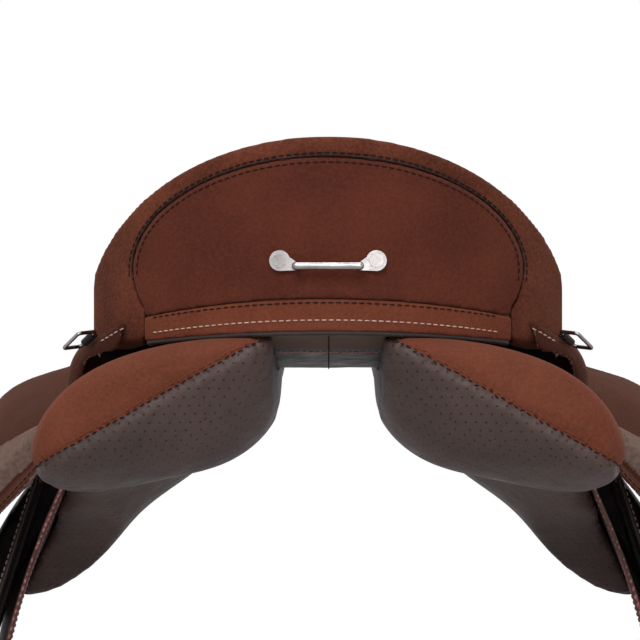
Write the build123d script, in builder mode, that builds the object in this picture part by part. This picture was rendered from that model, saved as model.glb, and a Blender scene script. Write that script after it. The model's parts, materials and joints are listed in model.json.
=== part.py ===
from build123d import *
from math import hypot, sqrt
import os

os.makedirs("parts", exist_ok=True)

# An endurance saddle, in millimetres. X points to the rider's right, Y to the horse's head and Z up.
# The origin is on the centre line at the rear, where the cantle meets the mouth of the gullet channel.
# Left pieces are mirror images of the right ones, so only the right side is drawn.

# Cantle, seen from behind and in plan
cantle_half_width = 183
arch_spare = 4
cantle_height = 134
cantle_plan_radius = 215
cantle_depth = 26
arch_half_width = 147
arch_half_height = 81
arch_centre_z = 37.5
arch_foot_z = 6
cover_thickness = 6
back_crown = 2
strip_half_width = 137
strip_top_z = 15
strip_foot_z = 2
strip_bottom_z = -8
strip_bottom_drop = 8
strip_proud = 3

# Seat
seat_length = 488
seat_leather = 3
foam_thickness = 22
tree_thickness = 8
webbing_width = 60
webbing_thickness = 2
tree_slot_length = 170
tree_slot_width = 64
tree_slot_y = 245
lining_half_width = 43.5
lining_thickness = 2

# Leather and padding of the sides
skirt_thickness = 4.5
flap_thickness = 4
sweat_flap_thickness = 3.5
thigh_block_thickness = 17
knee_block_thickness = 34
channel_half_width = 41
seam_inner = (46, -12)
seam_outer = (214, -107)
gusset_end_y = 240

# Bend line of the flap, under the lower edge of the skirt
bend_rear = (209, -84)
bend_front = (224, -38)
bend_rear_y = 170
bend_front_y = 440
skirt_over_bend = 10
skirt_gap = 1.6
skirt_full_y = 130
skirt_corner = (196, -58)

# Crupper bar
bar_spacing = 70
bar_z = 43
bar_half_length = 23
bar_drop = 4
bar_diameter = 6
bar_stand_off = 12
lug_back_y = -0.8
lug_diameter = 15
lug_thickness = 3
screw_head_diameter = 10
screw_head_height = 3
screw_diameter = 4
screw_length = 24

# Rings
ring_wire = 3
ring_corner = 2.5
rear_ring_width = 21
rear_ring_reach = 18
rear_ring_place = (183, 80, -14.5)
rear_ring_bar = (0.61, 0.575, -0.544)
rear_ring_leg = (0.647, -0.757, -0.076)
front_ring_width = 26
front_ring_reach = 22
front_ring_place = (118, 412, 12)
front_ring_leg = (0.954, 0, -0.3)
chape_width = 12
chape_wall = 1.6
rear_chape_tail = 5.2
front_chape_tail = 8
front_chape_tail_dir = (-0.3, 0, -0.954)

# Stirrup bars
back_plate_x = 118.6
back_plate_thickness = 4
stirrup_gap = 12
stirrup_bar_thickness = 6
stirrup_bar_height = 12
stirrup_bar_rear_y = 318
stirrup_bar_front_y = 400
stirrup_bar_rear_z = -64
stirrup_bar_rise = 8
leather_room_x = 131
leather_room_y = 352
leather_room_z = -70
leather_room_width = 44
leather_room_length = 124
arm_thickness = 6
catch_y = 310
catch_z = -60
catch_height = 14
catch_thickness = 3.5
catch_barrel = 8
pin_diameter = 3
rivet_diameter = 6
rivet_inner_x = 94
rivet_head = 3
rivet_head_diameter = 9.6
plate_outline = [(305, -66), (400, -56), (400, -25), (378, -27), (328, -43), (316, -48), (305, -54)]
rivet_places = [(340, -46), (384, -32)]

# Front arch
gullet_plate_thickness = 3
gullet_plate_width = 16
gullet_plate_y = 418
gullet_rivet_x = 24
gullet_rivet_zs = (19, 36)
facing_thickness = 4

# Girth straps
strap_width = 25
strap_thickness = 4
strap_length = 260
strap_hole_diameter = 5
strap_hole_pitch = 25
strap_holes = 7
strap_ys = {"rear": 268, "front": 322}
strap_top = (242, -118)
strap_down = (0.31, -0.951)
strap_pin_diameter = 6
strap_pin_inset = 10
strap_pin_proud = 1.5
webbing_strap_thickness = 2
webbing_room = 14

# Fits
clear = 0.4
running = 0.06
screw_fit = 0.1

# Extent of the cutting shapes: to a side, up and down, and how far behind the saddle they start
reach = 420
deep = 480
rear_plane_y = -60

gullet_rivet_y = gullet_plate_y + gullet_plate_width / 2

# Depths below the seat's surface
inner_inset = seat_leather + clear
foam_bottom = seat_leather + foam_thickness
webbing_bottom = foam_bottom + clear + webbing_thickness
tree_top = webbing_bottom + clear
tree_bottom = tree_top + tree_thickness


def across(y):
    """The plane that stands across the saddle at y, seen from behind."""
    return Plane(origin=(0, y, 0), x_dir=(1, 0, 0), z_dir=(0, -1, 0))


def shifted(path, distance):
    """The path moved sideways, outwards where it runs down and out."""
    moved = []
    for i, (x, z) in enumerate(path):
        before = path[max(i - 1, 0)]
        after = path[min(i + 1, len(path) - 1)]
        run = after[0] - before[0]
        rise = after[1] - before[1]
        length = hypot(run, rise)
        moved.append((x - distance * rise / length, z + distance * run / length))
    return moved


def side_prism(outline):
    """A prism to the right of the centre plane, with an outline in Y and Z."""
    with BuildPart() as prism:
        with BuildSketch(Plane.YZ):
            with BuildLine():
                Spline(*outline, periodic=True)
            make_face()
        extrude(amount=reach)
    return prism.part


def band(stations, inner, outer):
    """A curved layer between two offsets of the paths, lofted from rear to front."""
    with BuildPart() as layer:
        for y, path in stations:
            with BuildSketch(across(y)):
                with BuildLine():
                    near = Spline(*shifted(path, inner))
                    far = Spline(*shifted(path, outer))
                    Line(near @ 0, far @ 0)
                    Line(near @ 1, far @ 1)
                make_face()
        loft()
    return layer.part


def rod(start, end, diameter):
    """A straight round rod between two points."""
    start = Vector(start)
    end = Vector(end)
    with BuildPart() as bar:
        with BuildSketch(Plane(origin=start, z_dir=end - start)):
            Circle(diameter / 2)
        extrude(amount=(end - start).length)
    return bar.part


def wire_ring(place, bar, leg, width, reach_out):
    """A four-sided ring of round wire, whose first side is the one that it turns about."""
    side = Vector(bar).cross(Vector(leg))
    plane = Plane(origin=place, x_dir=bar, z_dir=side)
    with BuildPart() as ring:
        with BuildLine(plane):
            FilletPolyline(
                (0, 0), (width / 2, 0), (width / 2, reach_out), (0, reach_out), radius=ring_corner
            )
        with BuildSketch(Plane(origin=place, z_dir=bar)):
            Circle(ring_wire / 2)
        sweep()
        mirror(about=Plane(origin=place, z_dir=bar))
    return ring.part


def chape(place, bar, tail, length):
    """A leather loop round the ring's first side, with a tail towards what carries it."""
    radius = ring_wire / 2 + running + chape_wall
    with BuildPart() as loop:
        with BuildSketch(Plane(origin=place, x_dir=tail, z_dir=bar)):
            Circle(radius)
            Rectangle(length, 2 * chape_wall, align=(Align.MIN, Align.CENTER))
            Circle(ring_wire / 2 + running, mode=Mode.SUBTRACT)
        extrude(amount=chape_width / 2, both=True)
    return loop.part


def finish(piece, name):
    """Label a piece and write it."""
    piece.label = name
    export_step(piece, f"parts/{name}.step")
    return piece


def finish_pair(piece, name):
    """Write a right piece and its mirror image on the left."""
    finish(piece, f"{name}_right")
    with BuildPart() as other:
        mirror(piece, about=Plane.YZ, mode=Mode.ADD)
    finish(other.part, f"{name}_left")


def cantle_half(y):
    """Half the width of the cantle's round plan at y."""
    return sqrt(cantle_plan_radius**2 - (cantle_plan_radius - y) ** 2)


# The plan of the seat: half widths from the flank to the head
flank_y = cantle_plan_radius - sqrt(cantle_plan_radius**2 - cantle_half_width**2)
seat_side = [
    (135, cantle_half_width),
    (170, cantle_half_width - 8),
    (240, cantle_half_width - 43),
    (310, cantle_half_width - 66),
    (380, cantle_half_width - 80),
    (440, cantle_half_width - 98),
    (472, cantle_half_width - 128),
]
half_at = dict(seat_side)

# Height of the seat along its middle, and how much it falls 100 mm to the side
seat_line = [
    (-20, cantle_height + 16, 6),
    (0, cantle_height + 6, 6),
    (20, cantle_height - 10, 6),
    (50, cantle_height - 44, 4),
    (90, cantle_height - 80, 0),
    (140, 28, -8),
    (200, 13, -16),
    (250, 9, -22),
    (310, 16, -30),
    (370, 38, -40),
    (430, 72, -62),
    (470, 88, -80),
    (510, 86, -90),
]
# Height of the underside along the channel
channel_line = [(-30, -6), (5, -8), (60, -16), (110, -25), (170, -34), (240, -37.5), (310, -33)]
channel_line += [(370, -18), (430, 12), (480, 31), (520, 38)]


def plan_side(inset):
    """The side of the seat's plan, drawn in by inset, from the right flank round the nose to the left."""
    radius = cantle_plan_radius - inset
    corner = sqrt(radius**2 - (cantle_plan_radius - flank_y) ** 2)
    side = [(half - inset, y) for y, half in seat_side]
    other_side = [(-x, y) for x, y in reversed(side)]
    return Spline((corner, flank_y), *side, (0, seat_length - inset), *other_side, (-corner, flank_y))


def seat_plan(inset):
    """The outline of the seat in plan, drawn in by inset, as a tall prism."""
    side = plan_side(inset)
    with BuildPart() as prism:
        with BuildSketch(Plane.XY.offset(-deep / 2)):
            with BuildLine():
                add(side)
                ThreePointArc(side @ 1, (0, inset), side @ 0)
            make_face()
        extrude(amount=deep)
    return prism.part


def rear_arch(inset):
    """The outline of the cantle from behind, drawn in by inset, as a prism along the saddle."""
    half = cantle_half_width + arch_spare - inset
    with BuildPart() as prism:
        with BuildSketch(across(rear_plane_y)):
            Ellipse(half, cantle_height - inset)
            Rectangle(2 * half, deep, align=(Align.CENTER, Align.MAX))
        extrude(amount=-2 * reach)
    return prism.part


def under_seat(drop):
    """Everything that lies lower than the seat's surface lowered by drop."""
    side = cantle_half_width + 40
    with BuildPart() as below:
        for y, middle, fall in seat_line:
            with BuildSketch(across(y)):
                with BuildLine():
                    top = Spline(
                        *[
                            (share * side, middle - drop + fall * (share * side / 100) ** 2)
                            for share in (-1, -0.66, -0.33, 0, 0.33, 0.66, 1)
                        ]
                    )
                    Polyline(top @ 0, (-side, -deep), (side, -deep), top @ 1)
                make_face()
        loft()
    return below.part


def over_channel(lift):
    """Everything that lies higher than the channel's ceiling raised by lift."""
    line = [(y, z + lift) for y, z in channel_line]
    with BuildPart() as above:
        with BuildSketch(Plane.YZ.offset(-reach)):
            with BuildLine():
                floor = Spline(*line)
                Polyline(floor @ 0, (line[0][0], deep), (line[-1][0], deep), floor @ 1)
            make_face()
        extrude(amount=2 * reach)
    return above.part


def under_flank(gap):
    """Everything lower than the lower edge of the seat's side wall."""
    with BuildPart() as below:
        add(under_seat(tree_bottom + gap))
        add(over_channel(-gap), mode=Mode.SUBTRACT)
    return below.part


def cantle_ring(inner, outer):
    """A round wall on the plan circle of the cantle, cut off at the flanks."""
    with BuildPart() as wall:
        with BuildSketch(Plane.XY.offset(-deep / 2)):
            with Locations((0, cantle_plan_radius)):
                Circle(outer)
                Circle(inner, mode=Mode.SUBTRACT)
            with Locations((0, flank_y)):
                Rectangle(2 * reach, reach, align=(Align.CENTER, Align.MIN), mode=Mode.SUBTRACT)
        extrude(amount=deep)
    return wall.part


def seat_block(inset, drop):
    """The seat's solid outline in front of the cantle, drawn in and lowered."""
    face = cantle_plan_radius - cantle_depth - clear - inset
    with BuildPart() as zone:
        with BuildSketch(Plane.XY.offset(-deep / 2)):
            with Locations((0, flank_y + clear + inset)):
                Rectangle(2 * reach, 2 * reach, align=(Align.CENTER, Align.MAX))
            with Locations((0, cantle_plan_radius)):
                Circle(face, mode=Mode.SUBTRACT)
        extrude(amount=deep)
    with BuildPart() as block:
        add(seat_plan(inset))
        add(rear_arch(inset), mode=Mode.INTERSECT)
        add(under_seat(drop), mode=Mode.INTERSECT)
        add(zone.part, mode=Mode.SUBTRACT)
    return block.part


def arch_prism(grow):
    """The area inside the stitched arch of the cantle and below it, as a prism."""
    with BuildPart() as prism:
        with BuildSketch(across(rear_plane_y)):
            with Locations((0, arch_centre_z)):
                Ellipse(arch_half_width + grow, arch_half_height + grow)
            with Locations((0, arch_foot_z)):
                Rectangle(
                    2 * reach, reach, align=(Align.CENTER, Align.MAX), mode=Mode.SUBTRACT
                )
            with Locations((0, arch_foot_z)):
                Rectangle(2 * (strip_half_width + grow), deep, align=(Align.CENTER, Align.MAX))
        extrude(amount=-reach)
    return prism.part


def strip_prism(gap):
    """The base strip's outline from behind, grown by gap at its upper edge, as a prism."""
    half = strip_half_width
    with BuildPart() as prism:
        with BuildSketch(across(rear_plane_y)):
            with BuildLine():
                Polyline((-half, strip_foot_z + gap), (-half, strip_bottom_z - strip_bottom_drop))
                ThreePointArc(
                    (-half, strip_bottom_z - strip_bottom_drop),
                    (0, strip_bottom_z),
                    (half, strip_bottom_z - strip_bottom_drop),
                )
                Polyline((half, strip_bottom_z - strip_bottom_drop), (half, strip_foot_z + gap))
                ThreePointArc(
                    (half, strip_foot_z + gap), (0, strip_top_z + gap), (-half, strip_foot_z + gap)
                )
            make_face()
        extrude(amount=-reach)
    return prism.part


def screw_holes(diameter):
    """The two bores of the crupper bar's screws, as cylinders along the saddle."""
    with BuildPart() as bores:
        with BuildSketch(across(rear_plane_y)):
            with Locations((-bar_spacing / 2, bar_z), (bar_spacing / 2, bar_z)):
                Circle(diameter / 2)
        extrude(amount=-reach / 2)
    return bores.part


# Cantle: the roll round it, the crowned back, the strip below and the board inside
with BuildPart() as cantle_rim:
    add(seat_plan(0))
    add(rear_arch(0), mode=Mode.INTERSECT)
    add(under_seat(0), mode=Mode.INTERSECT)
    add(over_channel(0), mode=Mode.INTERSECT)
    add(cantle_ring(cantle_plan_radius - cantle_depth, cantle_plan_radius + 1), mode=Mode.INTERSECT)
    add(arch_prism(0), mode=Mode.SUBTRACT)
finish(cantle_rim.part, "cantle_rim")

with BuildPart() as cantle_back:
    add(arch_prism(-clear))
    add(
        cantle_ring(cantle_plan_radius - cover_thickness, cantle_plan_radius + back_crown),
        mode=Mode.INTERSECT,
    )
    add(strip_prism(clear), mode=Mode.SUBTRACT)
    with BuildSketch(across(rear_plane_y)):
        with Locations((0, strip_foot_z)):
            Rectangle(2 * reach, deep, align=(Align.CENTER, Align.MAX))
    extrude(amount=-reach, mode=Mode.SUBTRACT)
    add(screw_holes(screw_diameter + 2 * screw_fit), mode=Mode.SUBTRACT)
finish(cantle_back.part, "cantle_back")

with BuildPart() as base_strip:
    add(strip_prism(0))
    add(
        cantle_ring(cantle_plan_radius - cover_thickness, cantle_plan_radius + strip_proud),
        mode=Mode.INTERSECT,
    )
finish(base_strip.part, "base_strip")

with BuildPart() as cantle_board:
    add(arch_prism(-clear))
    add(
        cantle_ring(
            cantle_plan_radius - cantle_depth, cantle_plan_radius - cover_thickness - clear
        ),
        mode=Mode.INTERSECT,
    )
    add(over_channel(clear), mode=Mode.INTERSECT)
    add(under_seat(seat_leather), mode=Mode.INTERSECT)
    add(screw_holes(screw_diameter + 2 * screw_fit), mode=Mode.SUBTRACT)
finish(cantle_board.part, "cantle_board")

# Seat: leather shell, foam, webbing and the tree that carries them
with BuildPart() as rivet_bores:
    for side in (-1, 1):
        for y, z in rivet_places:
            inner = (side * (rivet_inner_x - clear), y, z)
            add(rod(inner, (side * reach, y, z), rivet_diameter + 2 * screw_fit))
        x = side * gullet_rivet_x
        add(rod((x, gullet_rivet_y, 0), (x, gullet_rivet_y, 60), rivet_diameter + 2 * screw_fit))

with BuildPart() as seat_cover:
    add(seat_block(0, 0))
    add(seat_block(seat_leather, seat_leather), mode=Mode.SUBTRACT)
    add(under_flank(0), mode=Mode.SUBTRACT)
    add(rivet_bores.part, mode=Mode.SUBTRACT)
finish(seat_cover.part, "seat_cover")

with BuildPart() as seat_foam:
    add(seat_block(inner_inset, inner_inset))
    add(under_seat(foam_bottom), mode=Mode.SUBTRACT)
finish(seat_foam.part, "seat_foam")

with BuildPart() as slot:
    with BuildSketch(Plane.XY.offset(-deep / 2)):
        with Locations((0, tree_slot_y)):
            SlotOverall(tree_slot_length, tree_slot_width, rotation=90)
    extrude(amount=deep)

with BuildPart() as tree:
    add(seat_block(inner_inset, tree_top))
    add(under_seat(tree_bottom), mode=Mode.SUBTRACT)
    add(slot.part, mode=Mode.SUBTRACT)
    add(rivet_bores.part, mode=Mode.SUBTRACT)
finish(tree.part, "tree")

with BuildPart() as seat_webbing:
    with BuildSketch(Plane.XY.offset(-deep / 2)):
        with Locations((0, tree_slot_y)):
            Rectangle(webbing_width, tree_slot_length + webbing_width)
            Rectangle(3 * webbing_width, webbing_width)
    extrude(amount=deep)
    add(under_seat(foam_bottom + clear), mode=Mode.INTERSECT)
    add(under_seat(webbing_bottom), mode=Mode.SUBTRACT)
finish(seat_webbing.part, "seat_webbing")

with BuildPart() as channel_lining:
    with BuildSketch(Plane.XY.offset(-deep / 2)):
        with Locations((0, clear)):
            Rectangle(2 * lining_half_width, seat_length - 4, align=(Align.CENTER, Align.MIN))
    extrude(amount=deep)
    add(over_channel(-clear - lining_thickness), mode=Mode.INTERSECT)
    add(over_channel(-clear), mode=Mode.SUBTRACT)
    add(cantle_ring(cantle_plan_radius - cover_thickness - clear, 2 * reach), mode=Mode.SUBTRACT)
finish(channel_lining.part, "channel_lining")


def bend(y):
    """The point of the flap's bend line at y, in X and Z."""
    share = (y - bend_rear_y) / (bend_front_y - bend_rear_y)
    return tuple(rear + share * (front - rear) for rear, front in zip(bend_rear, bend_front))


def skirt_end(y):
    """The lower edge of the skirt at y, above the bend line."""
    x, z = bend(y)
    return (x - 4, z + skirt_over_bend)


def half_width(y):
    """Half the width of the seat's plan at y."""
    if y < flank_y:
        return cantle_half(y)
    side = plan_side(0)
    low, high = 0, 0.5
    for _ in range(20):
        middle = (low + high) / 2
        low, high = (middle, high) if (side @ middle).Y < y else (low, middle)
    return (side @ low).X


def skirt_start(y, fall, out, down):
    """The first two points of the skirt's outer surface at y, from the seat's side wall outwards."""
    start = half_width(y) + skirt_gap + skirt_thickness * down / hypot(out, down)
    return [(start, fall), (start + out, fall - down)]


# Outer surface of the skirt: y, height at the seat's wall, and the first step out and down
skirt_steps = [
    (60, 0, 4, 9), (75, -7.5, 5, 9), (90, -14, 6, 9), (112, -17, 8, 10), (135, -19, 10, 11), (170, -33, 16, 13),
    (205, -38, 26, 11), (240, -40, 36, 9), (275, -37, 43, 8), (310, -30, 48, 9), (345, -20, 51, 12),
    (380, -8, 54, 15), (410, 4, 58, 20), (440, 18, 62, 26),
]
skirt_paths = []
for y, fall, out, down in skirt_steps:
    start = skirt_start(y, fall, out, down)
    end = skirt_end(y)
    if y < flank_y:
        end = (start[1][0] + out / 2, start[1][1] - down)
    elif y < skirt_full_y:
        end = skirt_corner
    skirt_paths.append((y, [*start, end]))
skirt_outline = [
    (50, 30), (50, -30), (90, -60), (170, -92), (240, -84), (310, -74), (380, -60), (420, -44),
    (438, -18), (444, 12), (436, 40), (300, 60), (150, 60),
]
with BuildPart() as skirt:
    add(band(skirt_paths, -skirt_thickness, 0))
    add(side_prism(skirt_outline), mode=Mode.INTERSECT)
finish_pair(skirt.part, "skirt")

# Outer surface of the flap below the bend
flap_paths = [
    (150, [bend(150), (222, -108), (240, -134), (268, -174), (296, -228), (314, -296), (326, -420)]),
    (230, [bend(230), (234, -92), (260, -116), (290, -154), (314, -210), (328, -280), (336, -420)]),
    (310, [bend(310), (250, -69), (286, -92), (316, -130), (334, -190), (340, -262), (340, -420)]),
    (380, [bend(380), (256, -56), (294, -75), (324, -114), (340, -176), (344, -252), (340, -420)]),
    (480, [bend(480), (260, -43), (298, -58), (330, -96), (344, -162), (346, -242), (336, -420)]),
]
flap_outline = [
    (166, -70), (172, -118), (196, -172), (228, -250), (262, -330), (304, -384), (360, -398),
    (412, -384), (446, -330), (464, -250), (472, -160), (464, -90), (440, -20), (300, 20),
]
with BuildPart() as flap:
    add(band(flap_paths, -flap_thickness, 0))
    add(side_prism(flap_outline), mode=Mode.INTERSECT)
finish_pair(flap.part, "flap")

thigh_outline = [
    (194, -92), (200, -124), (224, -172), (254, -220), (276, -232), (270, -196), (248, -146), (232, -104),
]
with BuildPart() as thigh_block:
    add(band(flap_paths, clear, thigh_block_thickness))
    add(side_prism(thigh_outline), mode=Mode.INTERSECT)
finish_pair(thigh_block.part, "thigh_block")


def flap_top_path(y):
    """The nailed top of the flap, from under the skirt down to the bend."""
    x, z = bend(y)
    return (y, [(x - 46, z + 15), (x - 22, z + 6), (x - 2, z - 2)])


top_paths = [flap_top_path(y) for y in (184, 310, 430)]
with BuildPart() as flap_top:
    add(band(top_paths, -flap_thickness, 0))
    add(band(skirt_paths, -skirt_thickness - 2 * clear, skirt_thickness), mode=Mode.SUBTRACT)
    add(band(flap_paths, -flap_thickness - clear, clear), mode=Mode.SUBTRACT)
finish_pair(flap_top.part, "flap_top")

# Inner surface of the sweat flap
sweat_paths = [
    (150, [(188, -88), (203, -112), (213, -144), (238, -196), (262, -252), (282, -318), (292, -430)]),
    (300, [(168, -80), (202, -118), (228, -156), (252, -206), (272, -262), (286, -326), (292, -430)]),
    (400, [(154, -74), (196, -120), (234, -162), (266, -211), (290, -264), (302, -326), (304, -430)]),
    (480, [(150, -66), (197, -116), (240, -164), (278, -217), (302, -268), (312, -326), (308, -430)]),
]
sweat_outline = [
    (190, -100), (194, -141), (214, -200), (232, -260), (264, -340), (304, -396), (360, -410),
    (408, -396), (440, -336), (458, -250), (464, -170), (456, -104), (420, -82), (300, -88), (210, -95),
]
with BuildPart() as sweat_flap:
    add(band(sweat_paths, 0, sweat_flap_thickness))
    add(side_prism(sweat_outline), mode=Mode.INTERSECT)
finish_pair(sweat_flap.part, "sweat_flap")

knee_outline = [
    (400, -110), (396, -160), (406, -220), (422, -276), (442, -268), (450, -200), (448, -134), (428, -104),
]
with BuildPart() as knee_block:
    add(band(sweat_paths, sweat_flap_thickness + clear, sweat_flap_thickness + knee_block_thickness))
    add(side_prism(knee_outline), mode=Mode.INTERSECT)
    add(band(flap_paths, -flap_thickness - 2, flap_thickness), mode=Mode.SUBTRACT)
finish_pair(knee_block.part, "knee_block")

# Panel: the underside from the channel outwards, then the back side towards the tree
wall = channel_half_width
panel_sections = [
    (
        -6,
        [(54, -18), (62, -26), (86, -40), (130, -64), (176, -88), (198, -95), (202, -84)],
        [(182, -60), (120, -31)],
    ),
    (
        8,
        [(wall, -12), (45, -26), (80, -54), (130, -84), (178, -107), (208, -110), (215, -88)],
        [(196, -55), (120, -19)],
    ),
    (
        40,
        [(wall, -14), (44, -50), (80, -86), (128, -108), (178, -121), (210, -121), (221, -92)],
        [(202, -62), (120, -20)],
    ),
    (
        90,
        [(wall, -20), (44, -78), (78, -108), (125, -122), (172, -131), (207, -129), (223, -98)],
        [(202, -70), (120, -23)],
    ),
    (
        150,
        [(wall, -30), (44, -82), (76, -108), (120, -120), (165, -130), (196, -132), (212, -112)],
        [(196, -87), (120, -28)],
    ),
    (
        220,
        [(wall, -34), (44, -78), (74, -98), (115, -114), (158, -134), (200, -152), (222, -136)],
        [(194, -90), (110, -36)],
    ),
    (
        300,
        [(wall, -28), (44, -72), (76, -100), (118, -132), (164, -168), (220, -220), (250, -214)],
        [(196, -118), (110, -56)],
    ),
    (
        380,
        [(wall, -8), (44, -54), (80, -98), (128, -140), (192, -184), (262, -246), (300, -250)],
        [(204, -126), (100, -52)],
    ),
    (
        450,
        [(wall, 20), (44, -24), (80, -80), (132, -136), (200, -184), (276, -246), (320, -262)],
        [(206, -120), (96, -46)],
    ),
    (
        480,
        [(wall + 2, 26), (46, -8), (82, -64), (132, -122), (200, -172), (276, -236), (320, -256)],
        [(208, -116), (94, -40)],
    ),
]
panel_outline = [
    (-40, -60), (-30, 30), (200, 20), (400, 10), (470, 50), (478, -60), (470, -180), (450, -262),
    (414, -284), (372, -264), (322, -214), (262, -170), (190, -150), (60, -160),
]


# Webbing straps that carry the girth straps, from the edge of the tree to the strap's top
strap_normal = (-strap_down[1], strap_down[0])
back_face = strap_thickness / 2 + clear + webbing_strap_thickness / 2
strap_back = (
    strap_top[0] - strap_normal[0] * back_face,
    strap_top[1] - strap_normal[1] * back_face,
)
strap_lap = 2 * strap_pin_inset
webbing_line = [
    (110, -71), (172, -71), (208, -95), strap_back,
    (strap_back[0] + strap_lap * strap_down[0], strap_back[1] + strap_lap * strap_down[1]),
]


def webbing_strap(y, grow, above):
    """One webbing strap at y, thickened by grow on its sides and below, and by above on its top."""
    half = webbing_strap_thickness / 2
    outline = shifted(webbing_line, half + above) + list(reversed(shifted(webbing_line, -half - grow)))
    with BuildPart() as strip:
        with BuildSketch(across(y + strap_width / 2 + grow)):
            with BuildLine():
                Polyline(*outline, close=True)
            make_face()
        extrude(amount=strap_width + 2 * grow)
    return strip.part


# Room for a stirrup leather round the stirrup bar
with BuildPart() as leather_room:
    with BuildSketch(Plane.XY.offset(leather_room_z)):
        with Locations((leather_room_x, leather_room_y)):
            Rectangle(leather_room_width, leather_room_length)
    extrude(amount=deep / 4)

# Panel: a cushion cut clear of its neighbours
with BuildPart() as panel:
    for y, lower, upper in panel_sections:
        with BuildSketch(across(y)):
            with BuildLine():
                Spline(*lower)
                Spline(lower[-1], *upper, lower[0])
            make_face()
    loft()
    add(side_prism(panel_outline), mode=Mode.INTERSECT)
    add(over_channel(-lining_thickness - 2 * clear), mode=Mode.SUBTRACT)
    add(band(sweat_paths, -2 * clear, reach / 4), mode=Mode.SUBTRACT)
    add(band(skirt_paths[3:], -skirt_thickness - 3 * clear, reach / 8), mode=Mode.SUBTRACT)
    add(band(top_paths, -flap_thickness - 2 * clear, reach / 8), mode=Mode.SUBTRACT)
    add(leather_room.part, mode=Mode.SUBTRACT)

with BuildPart() as seat_zone:
    add(seat_plan(-clear))
    add(under_flank(clear), mode=Mode.SUBTRACT)

with BuildPart() as cushion:
    add(panel.part)
    add(seat_zone.part, mode=Mode.SUBTRACT)
    for y in strap_ys.values():
        add(webbing_strap(y, clear, webbing_room), mode=Mode.SUBTRACT)

# The seam runs across the rear of the panel, from the channel down to the outer edge
seam_slope = (seam_outer[1] - seam_inner[1]) / (seam_outer[0] - seam_inner[0])
with BuildPart() as above_seam:
    with BuildSketch(across(rear_plane_y)):
        with BuildLine():
            Polyline(
                (0, seam_inner[1] - seam_slope * seam_inner[0]),
                (reach, seam_inner[1] + seam_slope * (reach - seam_inner[0])),
                (reach, deep),
                (0, deep),
                close=True,
            )
        make_face()
    extrude(amount=rear_plane_y - gusset_end_y)

with BuildPart() as panel_face:
    add(cushion.part)
    add(above_seam.part, mode=Mode.SUBTRACT)
finish_pair(panel_face.part, "panel_face")

with BuildPart() as panel_gusset:
    add(cushion.part)
    add(above_seam.part, mode=Mode.INTERSECT)
finish_pair(panel_gusset.part, "panel_gusset")

# Crupper bar: two lugs, two short arms and the bar between them, with a screw in each lug
arm_z = bar_z - bar_drop
bar_ends = {side: (side * bar_half_length, -bar_stand_off, arm_z) for side in (-1, 1)}
with BuildPart() as crupper_bar:
    for side in (-1, 1):
        lug_x = side * bar_spacing / 2
        arm_x = side * bar_half_length
        with BuildSketch(across(lug_back_y)):
            with Locations((lug_x, bar_z)):
                Circle(lug_diameter / 2)
            with BuildLine():
                Polyline(
                    (lug_x, bar_z + lug_diameter / 2),
                    (arm_x, bar_z - bar_drop + bar_diameter / 2),
                    (arm_x, bar_z - bar_drop - bar_diameter / 2),
                    (lug_x, bar_z - lug_diameter / 2),
                    close=True,
                )
            make_face()
        extrude(amount=lug_thickness)
        add(rod((arm_x, lug_back_y - lug_thickness / 2, arm_z), bar_ends[side], bar_diameter))
        with Locations(bar_ends[side]):
            Sphere(bar_diameter / 2)
    add(rod(bar_ends[-1], bar_ends[1], bar_diameter))
    add(screw_holes(screw_diameter + 2 * screw_fit), mode=Mode.SUBTRACT)
finish(crupper_bar.part, "crupper_bar")

head_y = lug_back_y - lug_thickness
with BuildPart() as crupper_screws:
    for side in (-1, 1):
        x = side * bar_spacing / 2
        add(rod((x, head_y, bar_z), (x, head_y + screw_length, bar_z), screw_diameter))
        add(rod((x, head_y, bar_z), (x, head_y - screw_head_height, bar_z), screw_head_diameter))
    with BuildSketch(across(head_y - screw_head_height)):
        with Locations((-bar_spacing / 2, bar_z), (bar_spacing / 2, bar_z)):
            Rectangle(screw_head_diameter / 2, screw_head_diameter / 8)
            Rectangle(screw_head_diameter / 8, screw_head_diameter / 2)
    extrude(amount=-screw_head_height / 2, mode=Mode.SUBTRACT)
finish(crupper_screws.part, "crupper_screws")

# Rings and the leather loops that hold them
rear_ring = wire_ring(rear_ring_place, rear_ring_bar, rear_ring_leg, rear_ring_width, rear_ring_reach)
finish_pair(rear_ring, "rear_dee")
rear_tail_dir = [-part for part in rear_ring_leg]
finish_pair(chape(rear_ring_place, rear_ring_bar, rear_tail_dir, rear_chape_tail), "rear_chape")

front_ring = wire_ring(front_ring_place, (0, 1, 0), front_ring_leg, front_ring_width, front_ring_reach)
finish_pair(front_ring, "front_dee")
with BuildPart() as front_chape:
    add(chape(front_ring_place, (0, 1, 0), front_chape_tail_dir, front_chape_tail))
    add(band(skirt_paths, -4 * skirt_thickness, 2 * clear), mode=Mode.SUBTRACT)
finish_pair(front_chape.part, "front_chape")

# Stirrup bar: a back plate on the tree, an arm at the front and the bar, open at the rear
plate_front_x = back_plate_x + back_plate_thickness
bar_x = plate_front_x + stirrup_gap
bar_outer_x = bar_x + stirrup_bar_thickness
bar_tilt = stirrup_bar_rise / (stirrup_bar_front_y - stirrup_bar_rear_y)
arm_y = stirrup_bar_front_y - arm_thickness


def tilted_slab(x, far_x, rear_y):
    """A slab from x to far_x whose edges follow the stirrup bar's tilt up to its front end."""
    ys = (rear_y, stirrup_bar_front_y)
    ends = [(y, stirrup_bar_rear_z + bar_tilt * (y - stirrup_bar_rear_y)) for y in ys]
    tops = [(y, z + stirrup_bar_height) for y, z in reversed(ends)]
    with BuildPart() as slab:
        with BuildSketch(Plane.YZ.offset(x)):
            with BuildLine():
                Polyline(*ends, *tops, close=True)
            make_face()
        extrude(amount=far_x - x)
    return slab.part


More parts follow.
